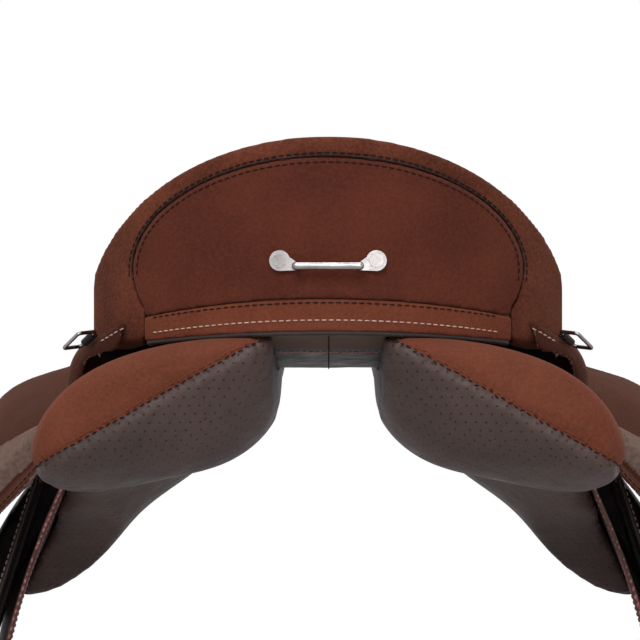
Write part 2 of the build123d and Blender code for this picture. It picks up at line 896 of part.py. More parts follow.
with BuildPart() as stirrup_bar:
    with BuildSketch(Plane.YZ.offset(back_plate_x)):
        with BuildLine():
            Polyline(*plate_outline, close=True)
        make_face()
    extrude(amount=back_plate_thickness)
    add(tilted_slab(back_plate_x, bar_outer_x, arm_y))
    add(tilted_slab(bar_x, bar_outer_x, stirrup_bar_rear_y))
    for y, z in rivet_places:
        add(rod((0, y, z), (bar_x, y, z), rivet_diameter + 2 * screw_fit), mode=Mode.SUBTRACT)
    add(rod((0, catch_y, catch_z), (bar_x, catch_y, catch_z), pin_diameter + 2 * running), mode=Mode.SUBTRACT)
finish_pair(stirrup_bar.part, "stirrup_bar")

with BuildPart() as bar_rivets:
    for y, z in rivet_places:
        add(rod((rivet_inner_x, y, z), (plate_front_x + 1, y, z), rivet_diameter))
        add(rod((plate_front_x + clear / 4, y, z), (plate_front_x + rivet_head, y, z), rivet_head_diameter))
finish_pair(bar_rivets.part, "bar_rivets")

catch_ends = [(x, catch_y, catch_z) for x in (plate_front_x + clear, bar_x - clear)]
with BuildPart() as bar_catch:
    add(rod(*catch_ends, catch_barrel))
    with BuildSketch(Plane.XY.offset(catch_z)):
        with Locations((plate_front_x + stirrup_gap / 2, catch_y)):
            Rectangle(stirrup_gap - 2 * clear, catch_thickness)
    extrude(amount=catch_height)
    bore = rod((0, catch_y, catch_z), (bar_outer_x, catch_y, catch_z), pin_diameter + 2 * running)
    add(bore, mode=Mode.SUBTRACT)
finish_pair(bar_catch.part, "bar_catch")

with BuildPart() as catch_pin:
    add(rod((back_plate_x, catch_y, catch_z), (bar_x, catch_y, catch_z), pin_diameter))
finish_pair(catch_pin.part, "catch_pin")

# Front arch: the steel plate under the tree's head, its rivets and the facing of the pommel
plate_half = [(0, 28.5), (42, 18), (74, -5), (104, -38)]
plate_line = [(-x, z) for x, z in reversed(plate_half)] + plate_half[1:]
with BuildPart() as gullet_plate:
    with BuildSketch(across(gullet_plate_y)):
        with BuildLine():
            top_line = Spline(*plate_line)
            low_line = Spline(*[(x, z - gullet_plate_thickness) for x, z in plate_line])
            Line(top_line @ 0, low_line @ 0)
            Line(top_line @ 1, low_line @ 1)
        make_face()
    extrude(amount=-gullet_plate_width)
    add(rivet_bores.part, mode=Mode.SUBTRACT)
finish(gullet_plate.part, "gullet_plate")

with BuildPart() as gullet_rivets:
    for x in (-gullet_rivet_x, gullet_rivet_x):
        add(rod(*[(x, gullet_rivet_y, z) for z in gullet_rivet_zs], rivet_diameter))
finish(gullet_rivets.part, "gullet_rivets")

facing_outer = [(-98, -30), (-72, 18), (-42, 60), (0, 80), (42, 60), (72, 18), (98, -30)]
facing_inner = [(66, -26), (48, 4), (0, 30), (-48, 4), (-66, -26)]
with BuildPart() as pommel_facing:
    with BuildSketch(across(seat_length + clear)):
        with BuildLine():
            Spline(*facing_outer)
            Spline(*facing_inner)
            Line(facing_outer[-1], facing_inner[0])
            Line(facing_inner[-1], facing_outer[0])
        make_face()
    extrude(amount=-facing_thickness)
finish(pommel_facing.part, "pommel_facing")

# Girth straps and the webbing that carries them
strap_x_dir = (strap_down[0], 0, strap_down[1])
for where, y in strap_ys.items():
    pin_x = strap_top[0] + strap_pin_inset * strap_down[0]
    pin_z = strap_top[1] + strap_pin_inset * strap_down[1]
    middle = Plane(
        origin=(strap_top[0], y, strap_top[1]),
        x_dir=strap_x_dir,
        z_dir=(strap_normal[0], 0, strap_normal[1]),
    )
    with BuildPart() as strap:
        with BuildSketch(middle):
            Rectangle(strap_length, strap_width, align=(Align.MIN, Align.CENTER))
            first = strap_length - strap_hole_pitch * strap_holes
            for number in range(strap_holes):
                with Locations((first + number * strap_hole_pitch, 0)):
                    Circle(strap_hole_diameter / 2, mode=Mode.SUBTRACT)
            with Locations((strap_pin_inset, 0)):
                Circle(strap_pin_diameter / 2 + running, mode=Mode.SUBTRACT)
        extrude(amount=strap_thickness / 2, both=True)
    finish_pair(strap.part, f"girth_strap_{where}")

with BuildPart() as girth_webbing:
    for y in strap_ys.values():
        add(webbing_strap(y, 0, 0))
        out = strap_thickness / 2 + strap_pin_proud
        back = back_face + webbing_strap_thickness
        add(
            rod(
                (pin_x - back * strap_normal[0], y, pin_z - back * strap_normal[1]),
                (pin_x + out * strap_normal[0], y, pin_z + out * strap_normal[1]),
                strap_pin_diameter,
            )
        )
finish_pair(girth_webbing.part, "girth_webbing")
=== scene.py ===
import json
import math

import bmesh
import bpy
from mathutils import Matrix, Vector, kdtree
from mathutils.bvhtree import BVHTree

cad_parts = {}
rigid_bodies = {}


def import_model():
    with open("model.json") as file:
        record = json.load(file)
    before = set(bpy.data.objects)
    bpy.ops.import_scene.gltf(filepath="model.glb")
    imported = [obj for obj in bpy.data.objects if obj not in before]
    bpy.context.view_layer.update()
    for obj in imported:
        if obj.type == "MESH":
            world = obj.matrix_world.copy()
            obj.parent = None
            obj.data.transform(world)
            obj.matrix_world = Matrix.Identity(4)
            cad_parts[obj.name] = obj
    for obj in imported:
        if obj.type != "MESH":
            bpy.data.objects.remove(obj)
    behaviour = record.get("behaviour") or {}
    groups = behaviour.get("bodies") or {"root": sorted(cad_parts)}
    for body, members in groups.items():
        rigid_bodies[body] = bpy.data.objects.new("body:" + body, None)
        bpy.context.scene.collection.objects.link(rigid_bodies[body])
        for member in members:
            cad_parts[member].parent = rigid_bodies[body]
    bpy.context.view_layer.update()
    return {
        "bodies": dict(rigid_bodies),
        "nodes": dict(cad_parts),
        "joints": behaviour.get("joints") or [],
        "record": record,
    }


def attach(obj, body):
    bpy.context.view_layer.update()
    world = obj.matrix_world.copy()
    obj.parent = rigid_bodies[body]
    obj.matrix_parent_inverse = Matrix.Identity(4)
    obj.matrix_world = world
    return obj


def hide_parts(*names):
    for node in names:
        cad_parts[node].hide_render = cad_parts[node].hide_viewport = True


bl_info = {
    "name": "Endurance Saddle",
    "version": (1, 0, 0),
    "blender": (4, 5, 0),
    "location": "View3D > Sidebar > Saddle",
    "description": "Dresses the endurance saddle in suede, leather and steel",
    "category": "Object",
}

SIDES = {"right": 1, "left": -1}
SEAM_INNER = (0.046, -0.012)
SEAM_OUTER = (0.214, -0.107)
SEAM_SLOPE = (SEAM_OUTER[1] - SEAM_INNER[1]) / (SEAM_OUTER[0] - SEAM_INNER[0])
FLAP_OUTLINE = [
    (166, -70), (172, -118), (196, -172), (228, -250), (262, -330), (304, -384), (360, -398),
    (412, -384), (446, -330), (464, -250), (472, -160), (464, -90),
]
SWEAT_OUTLINE = [
    (194, -141), (214, -200), (232, -260), (264, -340), (304, -396), (360, -410), (408, -396),
    (440, -336), (458, -250), (464, -170),
]
ARCH_HALF_WIDTH = 0.147
ARCH_HALF_HEIGHT = 0.081
ARCH_CENTRE_Z = 0.0375
STRIP_HALF_WIDTH = 0.137
FLOOR_Z = -0.42
WALL_X = 0.0412


class Shader:
    """A material's nodes, added one by one."""

    def __init__(self, name):
        self.material = bpy.data.materials.new(name)
        self.material.use_nodes = True
        self.tree = self.material.node_tree
        self.tree.nodes.clear()
        self.output = self.tree.nodes.new("ShaderNodeOutputMaterial")
        self.place = self.put("TexCoord").outputs["Object"]

    def put(self, kind, inputs=None, **settings):
        """Adds a node, sets its own settings, and sets or links its inputs."""
        node = self.tree.nodes.new("ShaderNode" + kind)
        for key, value in settings.items():
            setattr(node, key, value)
        for key, value in (inputs or {}).items():
            if isinstance(value, bpy.types.NodeSocket):
                self.tree.links.new(value, node.inputs[key])
            else:
                node.inputs[key].default_value = value
        return node

    def math(self, operation, first, second=0.0):
        return self.put("Math", {0: first, 1: second}, operation=operation).outputs[0]

    def noise(self, scale, detail=3.0, vector=None):
        inputs = {"Vector": vector or self.place, "Scale": scale, "Detail": detail}
        return self.put("TexNoise", inputs).outputs["Fac"]

    def cells(self, scale):
        inputs = {"Vector": self.place, "Scale": scale}
        return self.put("TexVoronoi", inputs, feature="DISTANCE_TO_EDGE").outputs["Distance"]

    def mapped(self, value, low, high, start=0.0, end=1.0):
        inputs = {0: value, 1: low, 2: high, 3: start, 4: end}
        return self.put("MapRange", inputs).outputs[0]

    def mixed(self, factor, first, second):
        inputs = {0: factor, 6: first, 7: second}
        return self.put("Mix", inputs, data_type="RGBA").outputs[2]

    def bump(self, height, strength, distance, normal=None):
        inputs = {"Height": height, "Strength": strength, "Distance": distance}
        if normal:
            inputs["Normal"] = normal
        return self.put("Bump", inputs).outputs["Normal"]

    def finish(self, inputs):
        surface = self.put("BsdfPrincipled", inputs)
        self.tree.links.new(surface.outputs[0], self.output.inputs[0])
        return self.material


def colour(red, green, blue):
    """An sRGB colour from 0 to 255 as the shader's linear one."""
    return (*[(part / 255) ** 2.2 for part in (red, green, blue)], 1.0)


def suede(name, light, dark, edge):
    """Napped suede: soft light and dark patches of nap, short fibres and a raw cut edge."""
    s = Shader(name)
    brushed = s.mapped(s.noise(14, 4), 0.36, 0.64)
    fibres = s.noise(1500, 3)
    flecks = s.mapped(s.noise(420, 5), 0.35, 0.7)
    base = s.mixed(s.math("ADD", s.math("MULTIPLY", brushed, 0.55), s.math("MULTIPLY", flecks, 0.45)), dark, light)
    rim = s.put("Attribute", attribute_name="edge").outputs["Fac"]
    rough_rim = s.mapped(s.noise(260, 4), 0.3, 0.7, 0.55, 1.0)
    base = s.mixed(s.math("MULTIPLY", rim, rough_rim), base, edge)
    height = s.math("ADD", s.math("MULTIPLY", fibres, 0.6), flecks)
    return s.finish(
        {
            "Base Color": base,
            "Roughness": s.mapped(brushed, 0, 1, 0.78, 0.95),
            "Sheen Weight": 0.12,
            "Sheen Roughness": 0.5,
            "Sheen Tint": (0.8, 0.4, 0.28, 1.0),
            "Specular IOR Level": 0.08,
            "Normal": s.bump(height, 0.5, 0.0006),
        }
    )


def leather(name, light, dark, edge, shine=0.5, grain=620, creases=0.5):
    """Grained leather with fine creases, worn lighter in places."""
    s = Shader(name)
    worn = s.mapped(s.noise(11, 5), 0.38, 0.66)
    pores = s.mapped(s.cells(grain), 0.0, 0.25)
    crease = s.mapped(s.noise(38, 6), 0.47, 0.53)
    base = s.mixed(s.math("MULTIPLY", worn, s.mapped(pores, 0, 1, 0.6, 1.0)), dark, light)
    rim = s.put("Attribute", attribute_name="edge").outputs["Fac"]
    base = s.mixed(s.math("MULTIPLY", rim, s.mapped(s.noise(300, 4), 0.3, 0.6, 0.6, 1.0)), base, edge)
    fine = s.bump(pores, 0.35, 0.0004)
    return s.finish(
        {
            "Base Color": base,
            "Roughness": s.mapped(s.noise(60, 4), 0.3, 0.7, shine - 0.08, shine + 0.12),
            "Sheen Weight": 0.02,
            "Specular IOR Level": 0.3,
            "Normal": s.bump(crease, creases, 0.0008, fine),
        }
    )


def perforated(name, light, dark, sheen):
    """Soft leather with staggered rows of small punched holes, whose insides are painted near-black as painted
    shade.
    """
    s = Shader(name)
    facing = s.put("SeparateXYZ", {0: s.put("TexCoord").outputs["Normal"]})
    size = [s.math("ABSOLUTE", facing.outputs[i]) for i in range(3)]
    to_side = s.math("GREATER_THAN", size[0], s.math("MAXIMUM", size[1], size[2]))
    to_rear = s.math("GREATER_THAN", size[1], s.math("MAXIMUM", size[0], size[2]))
    x, y, z = s.put("SeparateXYZ", {0: s.place}).outputs[:3]
    along = s.math("ADD", x, s.math("MULTIPLY", to_side, s.math("SUBTRACT", y, x)))
    upright = s.math("MAXIMUM", to_side, to_rear)
    up = s.math("ADD", y, s.math("MULTIPLY", upright, s.math("SUBTRACT", z, y)))
    pitch, row = 0.0072, 0.0072 * math.sqrt(3)
    distances = []
    for shift in (0.0, 0.5):
        a = s.math("FRACT", s.math("ADD", s.math("DIVIDE", along, pitch), 100 + shift))
        b = s.math("FRACT", s.math("ADD", s.math("DIVIDE", up, row), 100 + shift))
        a = s.math("MULTIPLY", s.math("SUBTRACT", a, 0.5), pitch)
        b = s.math("MULTIPLY", s.math("SUBTRACT", b, 0.5), row)
        length = s.math("SQRT", s.math("ADD", s.math("MULTIPLY", a, a), s.math("MULTIPLY", b, b)))
        distances.append(length)
    hole_and_painted_shade = s.mapped(s.math("MINIMUM", *distances), 0.00055, 0.0009, 1.0, 0.0)
    worn = s.mapped(s.noise(9, 5), 0.35, 0.65)
    pores = s.mapped(s.cells(700), 0.0, 0.25)
    base = s.mixed(worn, dark, light)
    # Painted shade: each punched hole is coloured near-black for the shade inside it, because the surface itself
    # has no opening there.
    base = s.mixed(hole_and_painted_shade, base, (0.002, 0.0015, 0.0015, 1.0))
    crease = s.mapped(s.noise(30, 7), 0.46, 0.54)
    fine = s.bump(s.math("SUBTRACT", s.math("MULTIPLY", pores, 0.25), hole_and_painted_shade), 0.7, 0.0006)
    return s.finish(
        {
            "Base Color": base,
            "Roughness": s.mapped(s.noise(50, 4), 0.3, 0.7, 0.46, 0.62),
            "Sheen Weight": 0.06,
            "Sheen Roughness": 0.3,
            "Sheen Tint": sheen,
            "Specular IOR Level": 0.4,
            "Normal": s.bump(crease, 0.4, 0.0012, fine),
        }
    )


def woven(name, light, dark, pitch=0.0011):
    """Cloth woven of crossing threads."""
    s = Shader(name)
    x, y, z = s.put("SeparateXYZ", {0: s.place}).outputs[:3]
    turns = 2 * math.pi / pitch
    across = s.math("SINE", s.math("MULTIPLY", s.math("ADD", x, z), turns))
    along = s.math("SINE", s.math("MULTIPLY", s.math("ADD", y, z), turns))
    weave = s.mapped(s.math("MULTIPLY", across, along), -1, 1)
    patches = s.mapped(s.noise(40, 5), 0.35, 0.65)
    base = s.mixed(s.math("MULTIPLY", weave, s.mapped(patches, 0, 1, 0.5, 1.0)), dark, light)
    return s.finish(
        {
            "Base Color": base,
            "Roughness": s.mapped(weave, 0, 1, 0.8, 0.95),
            "Sheen Weight": 0.03,
            "Specular IOR Level": 0.15,
            "Normal": s.bump(weave, 0.5, 0.0004),
        }
    )


def metal(name, tone, shine, scratch=0.3):
    """Polished or plain steel with fine scratches and a little tarnish."""
    s = Shader(name)
    stretched = s.put("Mapping", {"Vector": s.place, "Scale": (1.0, 9.0, 9.0)}).outputs[0]
    lines = s.noise(220, 5, stretched)
    tarnish = s.mapped(s.noise(55, 5), 0.42, 0.7)
    dim = tuple(part * 0.55 for part in tone[:3]) + (1.0,)
    return s.finish(
        {
            "Base Color": s.mixed(tarnish, tone, dim),
            "Metallic": 1.0,
            "Roughness": s.mapped(lines, 0.3, 0.7, shine, shine + 0.16),
            "Normal": s.bump(lines, scratch, 0.0001),
        }
    )


def solid(name, light, dark, rough=0.6, scale=120):
    """Moulded, foamed or wooden stuff that stays inside."""
    s = Shader(name)
    grain = s.mapped(s.noise(scale, 6), 0.35, 0.65)
    return s.finish(
        {
            "Base Color": s.mixed(grain, dark, light),
            "Roughness": s.mapped(grain, 0, 1, rough, rough + 0.2),
            "Normal": s.bump(grain, 0.3, 0.0004),
        }
    )


def shaded(obj, *materials):
    """Gives the object these materials and smooth shading."""
    obj.data.materials.clear()
    for material in materials:
        obj.data.materials.append(material)
    for face in obj.data.polygons:
        face.use_smooth = True
    return obj


def new_piece(name, vertices, faces, body="saddle"):
    """A new mesh piece that rides on a body."""
    mesh = bpy.data.meshes.new(name)
    mesh.from_pydata([tuple(v) for v in vertices], [], faces)
    mesh.update()
    obj = bpy.data.objects.new(name, mesh)
    bpy.context.scene.collection.objects.link(obj)
    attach(obj, body)
    return obj


def dressed(name, nodes, body, voxel, smooth=4):
    """One closed skin round the named CAD nodes, which it stands for."""
    work = bmesh.new()
    for node in nodes:
        work.from_mesh(FRAME["nodes"][node].data)
    mesh = bpy.data.meshes.new(name)
    work.to_mesh(mesh)
    work.free()
    obj = bpy.data.objects.new(name, mesh)
    bpy.context.scene.collection.objects.link(obj)
    remesh = obj.modifiers.new("remesh", "REMESH")
    remesh.mode = "VOXEL"
    remesh.voxel_size = voxel
    soften = obj.modifiers.new("soften", "SMOOTH")
    soften.factor = 0.5
    soften.iterations = smooth
    settle(obj)
    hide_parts(*nodes)
    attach(obj, body)
    return obj


def settle(obj):
    """Makes the result of the object's modifiers its own mesh."""
    graph = bpy.context.evaluated_depsgraph_get()
    made = bpy.data.meshes.new_from_object(obj.evaluated_get(graph))
    obj.modifiers.clear()
    obj.data = made


def finer(obj):
    """Divides the mesh once into smooth smaller faces."""
    divide = obj.modifiers.new("divide", "SUBSURF")
    divide.levels = 1
    divide.render_levels = 1
    settle(obj)


def puffed(obj, cap, pinned, pressure=4.0):
    """Blows the skin up softly from inside, with the pinned points held and every step kept under the cap."""
    held = obj.vertex_groups.new(name="held")
    held.add([v.index for v in obj.data.vertices if pinned(v.co)], 1.0, "REPLACE")
    before = [v.co.copy() for v in obj.data.vertices]
    cloth = obj.modifiers.new("cloth", "CLOTH")
    cloth.settings.use_pressure = True
    cloth.settings.uniform_pressure_force = pressure
    cloth.settings.vertex_group_mass = "held"
    cloth.settings.effector_weights.gravity = 0
    cloth.settings.bending_stiffness = 2.0
    cloth.collision_settings.use_collision = False
    cloth.point_cache.frame_start = 1
    cloth.point_cache.frame_end = 20
    for frame in range(1, 21):
        bpy.context.scene.frame_set(frame)
    graph = bpy.context.evaluated_depsgraph_get()
    after = [v.co.copy() for v in obj.evaluated_get(graph).data.vertices]
    obj.modifiers.remove(cloth)
    bpy.context.scene.frame_set(1)
    for vertex, start, end in zip(obj.data.vertices, before, after):
        step = end - start
        if step.length > cap:
            step = step.normalized() * cap
        vertex.co = start + step


def rippled(obj, size, depth, seed):
    """Long soft waves in the surface."""
    texture = bpy.data.textures.new(obj.name + "_waves", "CLOUDS")
    texture.noise_scale = size
    texture.noise_depth = 2
    waves = obj.modifiers.new("waves", "DISPLACE")
    waves.texture = texture
    waves.strength = depth
    waves.mid_level = 0.5
    waves.texture_coords = "OBJECT"
    anchor = bpy.data.objects.new(obj.name + "_anchor", None)
    anchor.location = (seed * 0.37, seed * 0.11, 0)
    waves.texture_coords_object = anchor
    settle(obj)
    bpy.data.objects.remove(anchor)


def normals_of(obj):
    """The normals as they are before any vertex moves."""
    return [vertex.normal.copy() for vertex in obj.data.vertices]


def grooved(obj, path, depth, width, pucker=0.0, pitch=0.006):
    """Draws the surface in along a path, as a seam does, with small puckers across it."""
    points, runs, run = [], [], 0.0
    for i, point in enumerate(path):
        run += (Vector(point) - Vector(path[i - 1])).length if i else 0
        points.append(Vector(point))
        runs.append(run)
    tree = kdtree.KDTree(len(points))
    for i, point in enumerate(points):
        tree.insert(point, i)
    tree.balance()
    for vertex, normal in zip(obj.data.vertices, normals_of(obj)):
        _, i, away = tree.find(vertex.co)
        if away < width:
            wave = 1 + pucker * math.sin(2 * math.pi * runs[i] / pitch)
            fall = (1 - (away / width) ** 2) ** 2
            vertex.co -= normal * depth * fall * wave


def edged(obj, thickness):
    """Marks the cut rim of a leather sheet, where a line straight in meets no far side."""
    tree = BVHTree.FromPolygons([v.co for v in obj.data.vertices], [p.vertices for p in obj.data.polygons])
    layer = obj.data.attributes.new("edge", "FLOAT", "POINT")
    for vertex in obj.data.vertices:
        start = vertex.co - vertex.normal * 0.0004
        hit = tree.ray_cast(start, -vertex.normal)
        deep = hit[3] if hit[0] else 1.0
        layer.data[vertex.index].value = 1.0 if deep > thickness * 1.9 else 0.0


def surface(obj):
    return BVHTree.FromPolygons([v.co for v in obj.data.vertices], [p.vertices for p in obj.data.polygons])


def cast(tree, starts, direction):
    """The points and normals where rays meet the surface, one for each start that hits."""
    found = []
    for start in starts:
        hit, normal, _, _ = tree.ray_cast(Vector(start), Vector(direction))
        if hit:
            found.append((hit, normal if normal.dot(Vector(direction)) < 0 else -normal))
    return found


def curve_through(points, count):
    """Evenly spread points on a smooth curve through the given ones."""
    points = [Vector(p) for p in points]
    padded = [2 * points[0] - points[1], *points, 2 * points[-1] - points[-2]]
    dense = []
    for a, b, c, d in zip(padded, padded[1:], padded[2:], padded[3:]):
        for step in range(24):
            t = step / 24
            dense.append(
                0.5 * (2 * b + (c - a) * t + (2 * a - 5 * b + 4 * c - d) * t * t + (3 * b - a - 3 * c + d) * t**3)
            )
    dense.append(points[-1])
    return spread(dense, count)


def spread(points, count):
    """The same line with count points at equal steps."""
    runs = [0.0]
    for a, b in zip(points, points[1:]):
        runs.append(runs[-1] + (b - a).length)
    made, i = [], 0
    for step in range(count):
        want = runs[-1] * step / (count - 1)
        while i < len(runs) - 2 and runs[i + 1] < want:
            i += 1
        share = (want - runs[i]) / max(runs[i + 1] - runs[i], 1e-9)
        made.append(points[i].lerp(points[i + 1], min(share, 1)))
    return made


def length_of(points):
    return sum((b - a).length for a, b in zip(points, points[1:]))


def tube(name, path, radius, material, body, sides=10):
    """A round cord, such as piping, along a path."""
    vertices, faces = tube_mesh(path, radius, sides)
    obj = new_piece(name, vertices, faces, body)
    return shaded(obj, material)


def tube_mesh(path, radius, sides, taper=False):
    vertices, faces = [], []
    last = len(path) - 1
    for i, point in enumerate(path):
        direction = (path[min(i + 1, last)] - path[max(i - 1, 0)]).normalized()
        side = direction.cross(Vector((0.13, 0.22, 0.97))).normalized()
        up = direction.cross(side)
        size = radius * (0.55 if taper and i in (0, last) else 1)
        for k in range(sides):
            turn = 2 * math.pi * k / sides
            vertices.append(point + side * (size * math.cos(turn)) + up * (size * math.sin(turn)))
    for i in range(last):
        for k in range(sides):
            a, b = i * sides + k, i * sides + (k + 1) % sides
            faces.append((a, b, b + sides, a + sides))
    faces.append(tuple(reversed(range(sides))))
    faces.append(tuple(range(last * sides, (last + 1) * sides)))
    return vertices, faces


def stitches(name, line, material, body, stitch=0.0042, gap=0.0014, radius=0.0005, lift=0.0002):
    """A row of sewn stitches: short thick threads that dip into the surface at both ends."""
    points = [point for point, _ in line]
    normals = [normal for _, normal in line]
    total = length_of(points)
    count = max(int(total / (stitch + gap)), 1)
    runs = [0.0]
    for a, b in zip(points, points[1:]):
        runs.append(runs[-1] + (b - a).length)

    def at(run):
        i = 0
        while i < len(runs) - 2 and runs[i + 1] < run:
            i += 1
        share = min(max((run - runs[i]) / max(runs[i + 1] - runs[i], 1e-9), 0), 1)
        return points[i].lerp(points[i + 1], share), normals[i].lerp(normals[i + 1], share).normalized()

    vertices, faces = [], []
    for number in range(count):
        start = number * (stitch + gap)
        path = []
        for share, height in ((0, -0.6), (0.2, 0.7), (0.5, 1.0), (0.8, 0.7), (1, -0.6)):
            point, normal = at(start + share * stitch)
            path.append(point + normal * (height * radius + lift))
        some, more = tube_mesh(path, radius, 6, taper=True)
        faces += [tuple(i + len(vertices) for i in face) for face in more]
        vertices += some
    obj = new_piece(name, vertices, faces, body)
    return shaded(obj, material)


def rear_starts(path):
    """Starting points behind the saddle for a path seen from behind."""
    return [(x, -0.3, z) for x, z in path]


def painted(node, material):
    """Gives a CAD node a better material and leaves its shape alone."""
    for place in FRAME["nodes"][node].material_slots:
        place.material = material


def seam_z(x):
    return SEAM_INNER[1] + SEAM_SLOPE * (abs(x) - SEAM_INNER[0])


class SaddleLook(bpy.types.PropertyGroup):
    skin_size: bpy.props.FloatProperty(
        name="Skin size", description="Size of the faces of the padded skins", default=0.0045, unit="LENGTH"
    )
    sheet_size: bpy.props.FloatProperty(
        name="Sheet size", description="Size of the faces of the leather sheets", default=0.0022, unit="LENGTH"
    )
    puff: bpy.props.FloatProperty(
        name="Puff", description="Furthest that the stuffing pushes a panel out", default=0.006, unit="LENGTH"
    )
    stitch: bpy.props.FloatProperty(
        name="Stitch", description="Length of one stitch", default=0.0042, unit="LENGTH"
    )
    ambient: bpy.props.FloatProperty(
        name="Ambient", description="Strength of the light from all round", default=0.28, min=0, subtype="FACTOR"
    )
    camera_distance: bpy.props.FloatProperty(
        name="Camera distance", description="Distance from the cantle to the camera", default=1.5, unit="LENGTH"
    )


class SADDLE_OT_stage(bpy.types.Operator):
    """Floor, lights and camera"""

    bl_idname = "saddle.stage"
    bl_label = "Stage"

    def execute(self, context):
        look = context.scene.saddle_look
        white = Shader("floor_white")
        haze = white.mapped(white.noise(3, 2), 0.3, 0.7, 0.78, 0.82)
        pale = white.put("CombineColor", {0: haze, 1: haze, 2: haze}).outputs[0]
        white.finish({"Base Color": pale, "Roughness": white.mapped(haze, 0.7, 1, 0.9, 1.0)})
        vertices = [(x, y, FLOOR_Z) for x, y in ((-3, -3), (3, -3), (3, 1.1), (-3, 1.1))]
        faces = [(0, 1, 2, 3)]
        mesh = bpy.data.meshes.new("floor")
        mesh.from_pydata(vertices, [], faces)
        floor = bpy.data.objects.new("floor", mesh)
        context.scene.collection.objects.link(floor)
        shaded(floor, white.material)
        world = context.scene.world or bpy.data.worlds.new("studio")
        context.scene.world = world
        world.use_nodes = True
        nodes, links = world.node_tree.nodes, world.node_tree.links
        nodes["Background"].inputs[0].default_value = (1, 1, 1, 1)
        ray = nodes.new("ShaderNodeLightPath")
        seen = ray.outputs["Is Camera Ray"]
        for kind in ("Is Glossy Ray", "Is Transmission Ray"):
            both = nodes.new("ShaderNodeMath")
            both.operation = "MAXIMUM"
            links.new(seen, both.inputs[0])
            links.new(ray.outputs[kind], both.inputs[1])
            seen = both.outputs[0]
        strength = nodes.new("ShaderNodeMapRange")
        strength.inputs["To Min"].default_value = look.ambient
        strength.inputs["To Max"].default_value = 1.0
        links.new(seen, strength.inputs["Value"])
        links.new(strength.outputs[0], nodes["Background"].inputs[1])
        lights = [
            ("key", (-0.35, -1.9, 1.4), 1.2, 34),
            ("front_fill", (0.4, -2.1, 0.2), 0.9, 7),
            ("top", (0.0, 0.1, 1.9), 1.2, 16),
        ]
        for name, place, size, power in lights:
            lamp = bpy.data.lights.new(name, "AREA")
            lamp.energy = power
            lamp.size = size
            obj = bpy.data.objects.new(name, lamp)
            context.scene.collection.objects.link(obj)
            obj.location = place
            target = Vector((0, 0.15, -0.05))
            obj.rotation_euler = (target - obj.location).to_track_quat("-Z", "Y").to_euler()
        camera = bpy.data.objects.new("camera", bpy.data.cameras.new("camera"))
        context.scene.collection.objects.link(camera)
        camera.location = (0, -look.camera_distance, 0)
        camera.rotation_euler = (math.pi / 2, 0, 0)
        camera.data.sensor_width = 36
        camera.data.lens = 2069 / 640 * 36
        camera.data.shift_x = -8 / 640
        context.scene.camera = camera
        context.scene.view_settings.view_transform = "Standard"
        return {"FINISHED"}


class SADDLE_OT_cantle(bpy.types.Operator):
    """Cantle: roll, crowned back, base strip, seams and piping"""

    bl_idname = "saddle.cantle"
    bl_label = "Cantle"

    def execute(self, context):
        look = context.scene.saddle_look
        rim = dressed("cantle_roll", ["cantle_rim"], "saddle", 0.003)
        puffed(rim, 0.002, lambda p: p.z < 0.01 or p.y > 0.08)
        shaded(rim, MATERIALS["rim"])
        back = dressed("cantle_panel", ["cantle_back"], "saddle", 0.0022)
        rippled(back, 0.05, 0.0012, 3)
        shaded(back, MATERIALS["cantle"])
        strip = dressed("cantle_strip", ["base_strip"], "saddle", 0.0016)
        rippled(strip, 0.04, 0.0008, 5)
        shaded(strip, MATERIALS["strip"])
        painted("cantle_board", MATERIALS["plywood"])
        arch = [(t / 60 * math.pi) for t in range(-2, 63)]
        rim_tree, back_tree, strip_tree = surface(rim), surface(back), surface(strip)
        outer = [(math.cos(a) * (ARCH_HALF_WIDTH + 0.003), ARCH_CENTRE_Z + math.sin(a) * (ARCH_HALF_HEIGHT + 0.003)) for a in arch]
        welt = [(math.cos(a) * ARCH_HALF_WIDTH, ARCH_CENTRE_Z + math.sin(a) * ARCH_HALF_HEIGHT) for a in arch]
        inner = [(math.cos(a) * (ARCH_HALF_WIDTH - 0.004), ARCH_CENTRE_Z + math.sin(a) * (ARCH_HALF_HEIGHT - 0.004)) for a in arch]
        line = cast(rim_tree, rear_starts(outer), (0, 1, 0))
        stitches("arch_stitches", line, MATERIALS["dark_thread"], "saddle", look.stitch)
        line = cast(back_tree, rear_starts(inner), (0, 1, 0))
        stitches("arch_stitches_inner", line, MATERIALS["dark_thread"], "saddle", look.stitch)
        path = [point for point, _ in cast(rim_tree, rear_starts([(x * 1.008, z + 0.0012) for x, z in welt]), (0, 1, 0))]
        tube("arch_welt", spread(path, 160), 0.0007, MATERIALS["dark"], "saddle")
        row = [(x / 1000, 0.0035 - 0.0105 * (x / 137) ** 2) for x in range(-130, 131, 4)]
        line = cast(strip_tree, rear_starts([(x, z - 0.0035) for x, z in row]), (0, 1, 0))
        stitches("strip_stitches", line, MATERIALS["pale_thread"], "saddle", 0.0036, 0.0016, 0.00055)
        upper = [(x, 0.0125 - 0.012 * (x / STRIP_HALF_WIDTH) ** 2) for x, _ in row]
        line = cast(strip_tree, rear_starts(upper), (0, 1, 0))
        stitches("strip_edge_stitches", line, MATERIALS["dark_thread"], "saddle", 0.004, 0.0016)
        lower = [(x * 1.03, -0.0095 - 0.0085 * (x / STRIP_HALF_WIDTH) ** 2) for x, _ in row]
        path = [Vector((x, 0.2149 - math.sqrt(0.2165**2 - x * x), z)) for x, z in lower]
        tube("strip_piping", spread(path, 140), 0.0019, MATERIALS["dark"], "saddle")
        return {"FINISHED"}


